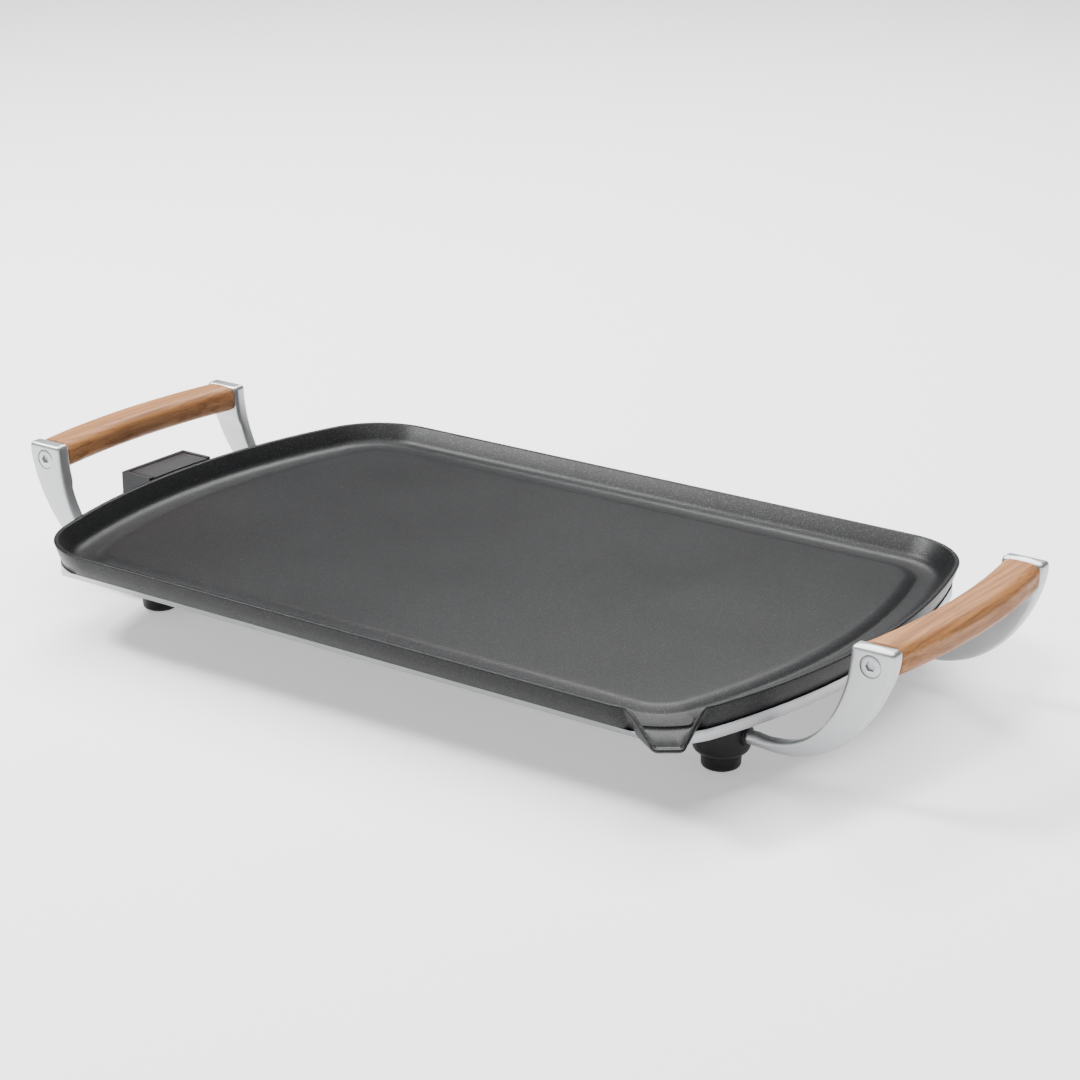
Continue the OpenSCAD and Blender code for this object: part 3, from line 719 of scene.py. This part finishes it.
def make_plate():
    """Rails round the outline, each a copy of the section, skinned and closed below."""
    s = bpy.context.scene.griddle_plate
    end_r, corner_r = s.end_radius / MM, s.corner_radius / MM
    centre, corner_x, corner_y, turn = rim_outline(end_r, corner_r)
    section = plate_section(s)
    rails = []

    def arc(cx, cy, radius, start, end, steps):
        for i in range(steps):
            a = start + (end - start) * i / steps
            rails.append([(cx + (radius - d) * math.cos(a), cy + (radius - d) * math.sin(a), z)
                          for d, z in section])

    def straight(x0, x1, side, steps):
        for i in range(steps):
            x = x0 + (x1 - x0) * i / steps
            rails.append([(x, side * (HALF_WIDTH - d), z) for d, z in section])

    half_turn = math.pi
    arc(centre, 0, end_r, -turn, turn, 60)
    arc(corner_x, corner_y, corner_r, turn, half_turn / 2, 36)
    straight(corner_x, -corner_x, 1, 24)
    arc(-corner_x, corner_y, corner_r, half_turn / 2, half_turn - turn, 36)
    arc(-centre, 0, end_r, half_turn - turn, half_turn + turn, 60)
    arc(-corner_x, -corner_y, corner_r, half_turn + turn, half_turn * 1.5, 36)
    straight(-corner_x, corner_x, -1, 24)

    reach = s.spout_reach / MM
    half = spout_half(reach, corner_r)
    path = half + [Vector((p.x, -p.y)) for p in half[-2::-1]]
    tables = [inset_reach(path, d) for d in INSETS]
    angles = sorted(math.atan2(p.y, p.x) for p in path)
    first, last = -half_turn / 2 + s.spout_turn, -turn + s.spout_turn
    before = [first + (angles[0] - first) * i / 14 for i in range(14)]
    after = [angles[-1] + (last - angles[-1]) * i / 14 for i in range(1, 14)]
    wide_open, shut = math.radians(21.5), math.radians(27.5)
    for angle in before + angles + after:
        opening = 1 - smoothstep(wide_open, shut, abs(angle))
        a = angle - s.spout_turn
        spout = None
        if opening > 0:
            spout = spout_section(angle, reach, corner_r, tables, section)
        rail = []
        for k, (d, z) in enumerate(section):
            r = corner_r - d
            if spout:
                r += (spout[k][0] - r) * opening
                z += (spout[k][1] - z) * opening
            rail.append((corner_x + r * math.cos(a), -corner_y + r * math.sin(a), z))
        rails.append(rail)

    count = len(rails)
    depth = len(section)
    verts = [p for rail in rails for p in rail]
    faces = []
    for i in range(count):
        j = (i + 1) % count
        for k in range(depth - 1):
            faces.append((i * depth + k, j * depth + k, j * depth + k + 1, i * depth + k + 1))
    faces.append(tuple(i * depth for i in range(count)))
    faces.append(tuple(i * depth + depth - 1 for i in range(count))[::-1])
    plate = publish("plate_casting", verts, faces, 42.0)
    dress(plate, MATERIALS["coating"], "griddle", "plate_coating", "griddle_plate")


# ---------------------------------------------------------------- handles

# outer and inner edge of an arm as curves in its plane, from the top of the head
ARM_OUT = ((0.0, -4.0), (0.4, -18.0), (-20.5, -79.0), (-79.5, -70.5))
ARM_IN = ((-25.2, -4.0), (-26.5, -32.0), (-41.5, -70.0), (-79.5, -63.5))
NECK_R = 3.9
GRIP_INSET = 6.3     # middle of the grip's bow from the ends of the arm heads
SCREW_HEAD_R = 6.1
SEAT_R = 6.2
SEAT_DEPTH = 2.6


def screw_place(sx, sy):
    """A grip screw's seat in its arm head, with Z towards the outside."""
    height = (SCREW_LOW[2] + SCREW_HIGH[2]) / 2
    spot = (sx * (SCREW_HIGH[0] - SCREW_HEAD_R), FACE_AT[sy] - sy * SEAT_DEPTH, height)
    return Matrix.Translation(spot) @ Matrix.Rotation(-sy * math.pi / 2, 4, "X")


def arm_rings(edge):
    """Rings from the crowned cap down the blade to the round neck, outer face at 0."""
    thin, thick = 8.0, 9.5
    rings = []

    def ring(centre, along, half_u, half_v, radius, middle_y):
        flat = []
        for u, v in rounded_ring(half_u, half_v, radius):
            flat.append((centre.x + along.x * u, middle_y + v, centre.y + along.y * u))
        rings.append(flat)

    def blade(t):
        outer = Vector((HEAD_X, HEAD_Z)) + bezier(ARM_OUT, t)
        inner = Vector((HEAD_X, HEAD_Z)) + bezier(ARM_IN, t)
        return (outer + inner) / 2, (outer - inner).normalized(), (outer - inner).length / 2

    top, along, half = blade(0.0)
    crown = 4.0
    for share, drop in ((0.02, 0.0), (0.12, 0.0), (0.3, 0.02), (0.5, 0.08),
                        (0.7, 0.17), (0.88, 0.26)):
        size = half - edge + edge * 0.1
        ring(top + Vector((0, crown - 1.2 * drop - 0.1)), along, size * share,
             (thick / 2 - edge) * max(share, 0.1), edge * share, -thick / 2)
    for i in range(7):
        a = math.pi / 2 * (1 - i / 6)
        grow = edge * (1 - math.cos(math.pi / 2 - a))
        lift = crown - 0.45 - edge + edge * math.sin(a)
        ring(top + Vector((0, lift)), along, half - edge + edge * math.cos(a),
             thick / 2 - edge + edge * math.cos(a), max(edge * math.cos(a), 0.6),
             -thick / 2)
    steps = 46
    for i in range(steps + 1):
        t = i / steps
        middle, along, half = blade(t)
        head = smoothstep(62.0, 68.0, middle.y)
        wide = thin + (thick - thin) * head
        round_off = smoothstep(236.0, 222.0, middle.x)
        half_v = wide / 2 + (NECK_R - wide / 2) * round_off
        radius = edge + (NECK_R - 0.05 - edge) * round_off
        ring(middle, along, half + (NECK_R - half) * round_off, half_v,
             min(radius, half), -wide / 2)
    for x in (219.0, 216.0, 212.0, 207.0):
        ring(Vector((x, middle.y)), along, NECK_R, NECK_R, NECK_R - 0.02, -thin / 2)
    return rings


def make_arms():
    """Four cast arms, each with a sunk seat for its screw."""
    s = bpy.context.scene.griddle_handles
    verts, faces = loft(arm_rings(s.edge_radius / MM))
    seat = turned([(AXIS, 0), (SEAT_R, 0), (SEAT_R, 6), (AXIS, 6)], 64)
    for (sx, sy), name in SIDE_NAMES.items():
        arm = publish("cast_arm_" + name,
                      [(sx * x, FACE_AT[sy] + sy * y, z) for x, y, z in verts], faces)
        cutter = Shape()
        cutter.add(*seat, screw_place(sx, sy))
        carve(arm, cutter.publish("seat_cutter"))
        dress(arm, MATERIALS["cast"], "griddle", "arm_silver", "arm_" + name)


def make_grips():
    """Two bowed wooden bars with eased edges and a crowned top."""
    centre_x = HALF_LENGTH - bpy.context.scene.griddle_plate.end_radius / MM
    bow = HEAD_X - GRIP_INSET - centre_x
    half_y = (GRIP_HIGH[1] - GRIP_LOW[1]) / 2
    middle_y = (GRIP_HIGH[1] + GRIP_LOW[1]) / 2 - MID_Y
    crown = 0.9
    middle_z = (GRIP_LOW[2] + GRIP_HIGH[2] + crown) / 2
    half_w = 11.7
    half_h = (GRIP_HIGH[2] - GRIP_LOW[2] + crown) / 2
    section = []
    for u, v in rounded_ring(half_w, half_h, 5.6, 8, 7):
        section.append((u, v - crown * (u / half_w) ** 2 * smoothstep(0.0, half_h, v)))
    steps = 60
    span = [(-half_y, 0.92), (-half_y + 0.15, 0.96), (-half_y + 0.6, 0.99)]
    span += [(-half_y + 1.2 + (2 * half_y - 2.4) * i / steps, 1.0) for i in range(steps + 1)]
    span += [(half_y - 0.6, 0.99), (half_y - 0.15, 0.96), (half_y, 0.92)]
    for s in (-1, 1):
        rings = []
        for y, scale in span:
            x = centre_x + bow * math.cos(math.asin(y / bow))
            rings.append([(s * (x + u * scale), middle_y + y, middle_z + v * scale)
                          for u, v in section])
        side = "left" if s < 0 else "right"
        grip = publish("wooden_grip_" + side, *loft(rings))
        dress(grip, MATERIALS["wood"], "griddle", "oiled_wood", "grip_" + side)


def make_grip_screws():
    """Flush button heads with a hexagon socket, one in each arm head."""
    head = [(AXIS, -27), (1.95, -27), (1.95, 0), (5.9, 0)]
    head += [(SCREW_HEAD_R, 0.2), (SCREW_HEAD_R, 1.9), (5.98, 2.2), (5.5, 2.5), (4.6, 2.66), (3.4, 2.7)]
    head += [(3.0, 2.7, 1.0), (2.85, 2.55, 1.0), (2.75, 1.0, 1.0), (AXIS, 0.6)]
    screws = Shape()
    for sx, sy in SIDE_NAMES:
        screws.add(*turned(head, 72), screw_place(sx, sy))
    piece = screws.publish("socket_screws")
    dress(piece, MATERIALS["cast"], "griddle", "arm_silver", "grip_screws")


# ---------------------------------------------------------------- feet

PAD_TOP = 1.2
NECK_Z = 21.0        # height of the arm's neck where it meets the collar


def make_feet():
    """Fixed collars and the four legs that turn out of them."""
    low, web = COLLAR_LOW[2], LEG_HIGH[2] + 0.1
    bore = LEG_R + 0.3
    outer = [(4.0, BAND_Z), (COLLAR_R, BAND_Z), (COLLAR_R, low + 4.6)]
    for i in range(9):
        a = math.pi / 2 * i / 8
        outer.append((bore + 0.5 + (COLLAR_R - bore - 0.5) * math.cos(a),
                      low + 4.4 - 4.4 * math.sin(a)))
    outer += [(bore + 0.15, low), (bore, low + 0.2), (bore, web), (4.0, web)]
    collars = Shape()
    body = [outer[0]] + eased(outer[:3], 0.7)[1:-1] + outer[2:]
    for sx, sy in SIDE_NAMES:
        place = Matrix.Translation((sx * FOOT_X, FOOT_AT[sy], 0))
        collars.add(*turned(body, 96, closed=True), place)
        # raised boss where the neck of the arm goes in
        boss = [(AXIS, 0), (5.6, 0), (5.6, 3.4), (5.2, 3.9), (4.2, 4.0), (AXIS, 4.0)]
        collars.add(*turned(boss, 48), place
                    @ Matrix.Translation((sx * (COLLAR_R - 2.6), 0, NECK_Z))
                    @ Matrix.Rotation(sx * math.pi / 2, 4, "Y"))
    piece = collars.publish("foot_sockets")
    dress(piece, MATERIALS["foot"], "griddle", "black_plastic", "foot_collars")

    skirt = [(8.5, 0.4), (LEG_R - 2.2, 0.4), (LEG_R - 0.9, 1.0), (LEG_R - 0.3, 2.4),
             (LEG_R, 9.0), (LEG_R, web - 0.1), (AXIS, web - 0.1)]
    leg_path = [(AXIS, PAD_TOP), (8.5, PAD_TOP)] + eased(skirt, 0.8, 3)[1:]
    pad_path = eased([(AXIS, 0.0), (8.4, 0.0), (8.4, PAD_TOP), (AXIS, PAD_TOP)], 0.4, 3)
    for (sx, sy), name in SIDE_NAMES.items():
        place = Matrix.Translation((sx * FOOT_X, FOOT_AT[sy], 0))
        leg, pad = Shape(), Shape()
        leg.add(*turned(leg_path, 96), place)
        pad.add(*turned(pad_path, 72), place)
        dress(leg.publish("screw_leg_" + name), MATERIALS["foot"], "foot_" + name,
              "black_plastic", "leg_" + name)
        dress(pad.publish("grip_pad_" + name), MATERIALS["rubber"], "foot_" + name,
              "pad_rubber", "pad_" + name)


# ---------------------------------------------------------------- inlet

PIN_R = 3.2


def make_inlet():
    """Contact pins, guide and bushings that show in the inlet's mouth."""
    along = Matrix.Rotation(-math.pi / 2, 4, "Y")
    pins, bushes, guide = Shape(), Shape(), Shape()
    pin_y = (PIN_HIGH[1] - PIN_LOW[1]) / 2 - PIN_R
    reach = PIN_HIGH[0] - PIN_LOW[0]
    for sy in (-1, 1):
        place = Matrix.Translation((PIN_HIGH[0], sy * pin_y, PIN_Z)) @ along
        path = [(AXIS, 0), (2.9, 0), (2.9, 11), (PIN_R, 11.3), (PIN_R, reach - 2.0),
                (2.95, reach - 1.1), (2.3, reach - 0.35), (1.4, reach - 0.05), (AXIS, reach)]
        pins.add(*turned(path, 64), place)
        rest = Matrix.Translation((BUSH_HIGH[0], sy * pin_y, PIN_Z)) @ along
        ring = [(2.95, 0), (4.7, 0), (4.95, 0.3), (4.95, 4.0), (6.0, 4.0), (6.2, 4.2),
                (6.2, 8.4), (5.7, 9.0), (3.2, 9.0), (2.95, 8.7)]
        bushes.add(*turned(ring, 64, closed=True), rest)
    reach = GUIDE_HIGH[0] - GUIDE_LOW[0]
    wall = [(3.4, reach), (3.5, reach), (4.3, reach), (4.4, reach - 0.2), (4.4, 0.3),
            (4.2, 0.0), (AXIS, 0.0)]
    tube = [(AXIS, 3.0), (3.4, 3.0)] + wall
    guide.add(*turned(tube, 64), Matrix.Translation((GUIDE_HIGH[0], 0, PIN_Z)) @ along)
    dress(pins.publish("round_contacts"), MATERIALS["screw"], "griddle",
          "element_steel", "contact_pins")
    dress(bushes.publish("pin_bushings"), MATERIALS["ceramic"], "griddle",
          "washer_ceramic", "ceramic_bushings")
    dress(guide.publish("probe_tube"), MATERIALS["steel"], "griddle",
          "element_steel", "probe_guide")


# ---------------------------------------------------------------- carried parts

CARRIED = {
    "heating_element": ("element", 0.0), "element_clamps": ("steel", 0.15),
    "clamp_screws": ("screw", 0.2), "base_tray": ("tray", 0.45),
    "tray_screws": ("screw", 0.3), "tray_washers": ("ceramic", 0.2),
    "blank_label": ("foil", 0.08), "collar_screws": ("screw", 0.3),
    "stud_front_left": ("screw", 0.2), "stud_front_right": ("screw", 0.2),
    "stud_back_left": ("screw", 0.2), "stud_back_right": ("screw", 0.2),
    "arm_lock_pins": ("steel", 0.2), "grip_inserts": ("brass", 0.15),
    "inlet_housing": ("inlet", 0.9), "inlet_cover": ("inlet", 0.35),
    "cover_screws": ("screw", 0.2), "terminal_bracket": ("steel", 0.2),
    "earth_contact": ("steel", 0.12), "inlet_screws": ("screw", 0.3),
}


def finish_carried():
    """Finishes and small edge roundings for the frame parts that stay."""
    for node, (finish, width) in CARRIED.items():
        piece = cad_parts[node]
        for index in range(max(len(piece.material_slots), 1)):
            if index < len(piece.material_slots):
                piece.material_slots[index].material = MATERIALS[finish]
            else:
                piece.data.materials.append(MATERIALS[finish])
        if width:
            soften(piece, width)


# ---------------------------------------------------------------- stage

def soft_light(name, place, target, size, power):
    light = bpy.data.lights.new(name, "AREA")
    light.shape = "RECTANGLE"
    light.size, light.size_y = size
    light.energy = power
    lamp = bpy.data.objects.new(name, light)
    bpy.context.scene.collection.objects.link(lamp)
    lamp.location = place
    lamp.rotation_euler = (Vector(target) - Vector(place)).to_track_quat("-Z", "Y").to_euler()


def make_stage():
    """Floor, lights and camera, with sizes in metres."""
    s = bpy.context.scene.griddle_stage
    size = 30.0
    # just below the pads, so that no two faces share a plane
    height = -0.0002
    mesh = bpy.data.meshes.new("studio_floor")
    mesh.from_pydata([(-size, -size, height), (size, -size, height),
                      (size, size, height), (-size, size, height)],
                     [], [(0, 1, 2, 3)])
    floor = bpy.data.objects.new("studio_floor", mesh)
    bpy.context.scene.collection.objects.link(floor)
    paint = Finish("Studio floor", roughness=0.85)
    paint.shader.inputs["Emission Color"].default_value = (1.0, 1.0, 1.0, 1.0)
    paint.shader.inputs["Emission Strength"].default_value = 0.5
    haze = paint.grain(0.8, 0.2, 0.8)
    paint.feed("Base Color", paint.blend(haze.outputs["Mask"], shade(s.floor, 0.985), s.floor))
    mesh.materials.append(paint.material)

    world = bpy.data.worlds.new("Studio")
    bpy.context.scene.world = world
    world.use_nodes = True
    world.node_tree.nodes["Background"].inputs["Color"].default_value = (1, 1, 1, 1)
    world.node_tree.nodes["Background"].inputs["Strength"].default_value = 0.16

    middle = (0.0, MID_Y * MM, 0.05)
    soft_light("top_panel", (-0.3, 0.1, 2.6), middle, (3.0, 3.0), 190)
    soft_light("left_panel", (-1.45, -0.62, 1.75), (-0.2, 0.15, 0.05), (0.6, 0.5), 75)
    soft_light("back_panel", (-0.9, 1.7, 1.9), middle, (1.2, 0.5), 45)

    target = Vector((0.0, MID_Y * MM, RIM_Z * MM))
    reach = math.cos(s.elevation)
    way = Vector((math.sin(s.azimuth) * reach, -math.cos(s.azimuth) * reach,
                  math.sin(s.elevation)))
    view = bpy.data.cameras.new("Camera")
    view.sensor_width = 36.0
    view.lens = 93.08
    view.shift_x = 0.0362
    view.shift_y = 0.0053
    view.clip_end = 100.0
    camera = bpy.data.objects.new("Camera", view)
    bpy.context.scene.collection.objects.link(camera)
    camera.location = target + way * s.distance
    turn = (-way).to_track_quat("-Z", "Y").to_matrix().to_4x4()
    roll = Matrix.Rotation(math.radians(-0.22), 4, "Z")
    camera.rotation_euler = (turn @ roll).to_euler()
    bpy.context.scene.camera = camera


# ---------------------------------------------------------------- operators

class GRIDDLE_OT_make_plate(bpy.types.Operator):
    """Cast plate with rim, gutter, crowned surface and pouring spout"""
    bl_idname = "griddle.make_plate"
    bl_label = "Plate"

    def execute(self, context):
        prepare_finishes()
        make_plate()
        return {"FINISHED"}


class GRIDDLE_OT_make_arms(bpy.types.Operator):
    """Four cast arms that rise from the feet to the grips"""
    bl_idname = "griddle.make_arms"
    bl_label = "Handle arms"

    def execute(self, context):
        prepare_finishes()
        make_arms()
        make_grip_screws()
        return {"FINISHED"}


class GRIDDLE_OT_make_grips(bpy.types.Operator):
    """Two bowed wooden grips"""
    bl_idname = "griddle.make_grips"
    bl_label = "Wooden grips"

    def execute(self, context):
        prepare_finishes()
        make_grips()
        return {"FINISHED"}


class GRIDDLE_OT_make_feet(bpy.types.Operator):
    """Collars, levelling legs and their pads"""
    bl_idname = "griddle.make_feet"
    bl_label = "Feet"

    def execute(self, context):
        prepare_finishes()
        make_feet()
        return {"FINISHED"}


class GRIDDLE_OT_make_inlet(bpy.types.Operator):
    """Contacts, bushings and guide inside the inlet"""
    bl_idname = "griddle.make_inlet"
    bl_label = "Inlet"

    def execute(self, context):
        prepare_finishes()
        make_inlet()
        return {"FINISHED"}


class GRIDDLE_OT_finish_carried(bpy.types.Operator):
    """Finishes for the parts that keep their frame shape"""
    bl_idname = "griddle.finish_carried"
    bl_label = "Tray, screws and fittings"

    def execute(self, context):
        prepare_finishes()
        finish_carried()
        return {"FINISHED"}


class GRIDDLE_OT_make_stage(bpy.types.Operator):
    """Plain floor, soft lights and camera"""
    bl_idname = "griddle.make_stage"
    bl_label = "Stage"

    def execute(self, context):
        prepare_finishes()
        make_stage()
        return {"FINISHED"}


OPERATORS = (GRIDDLE_OT_make_plate, GRIDDLE_OT_make_arms, GRIDDLE_OT_make_grips,
             GRIDDLE_OT_make_feet, GRIDDLE_OT_make_inlet, GRIDDLE_OT_finish_carried,
             GRIDDLE_OT_make_stage)
SETTINGS = (("griddle_plate", GriddlePlateSettings, "Plate"),
            ("griddle_handles", GriddleHandleSettings, "Handles"),
            ("griddle_base", GriddleBaseSettings, "Base"),
            ("griddle_stage", GriddleStageSettings, "Stage"))


class GRIDDLE_PT_maker(bpy.types.Panel):
    """Sizes, colours and making steps of the griddle"""
    bl_label = "Griddle"
    bl_idname = "GRIDDLE_PT_maker"
    bl_space_type = "VIEW_3D"
    bl_region_type = "UI"
    bl_category = "Griddle"

    def draw(self, context):
        for attribute, kind, title in SETTINGS:
            column = self.layout.column(align=True)
            column.label(text=title)
            for prop in kind.__annotations__:
                column.prop(getattr(context.scene, attribute), prop)
        for step in OPERATORS:
            self.layout.operator(step.bl_idname)


def register():
    for attribute, kind, _ in SETTINGS:
        bpy.utils.register_class(kind)
        setattr(bpy.types.Scene, attribute, PointerProperty(type=kind))
    for kind in OPERATORS + (GRIDDLE_PT_maker,):
        bpy.utils.register_class(kind)


def unregister():
    for kind in reversed(OPERATORS + (GRIDDLE_PT_maker,)):
        bpy.utils.unregister_class(kind)
    for attribute, kind, _ in reversed(SETTINGS):
        delattr(bpy.types.Scene, attribute)
        bpy.utils.unregister_class(kind)


def main():
    register()
    bpy.ops.griddle.make_plate()
    bpy.ops.griddle.make_arms()
    bpy.ops.griddle.make_grips()
    bpy.ops.griddle.make_feet()
    bpy.ops.griddle.make_inlet()
    bpy.ops.griddle.finish_carried()
    bpy.ops.griddle.make_stage()
    bpy.context.view_layer.update()


if __name__ == "__main__":
    main()
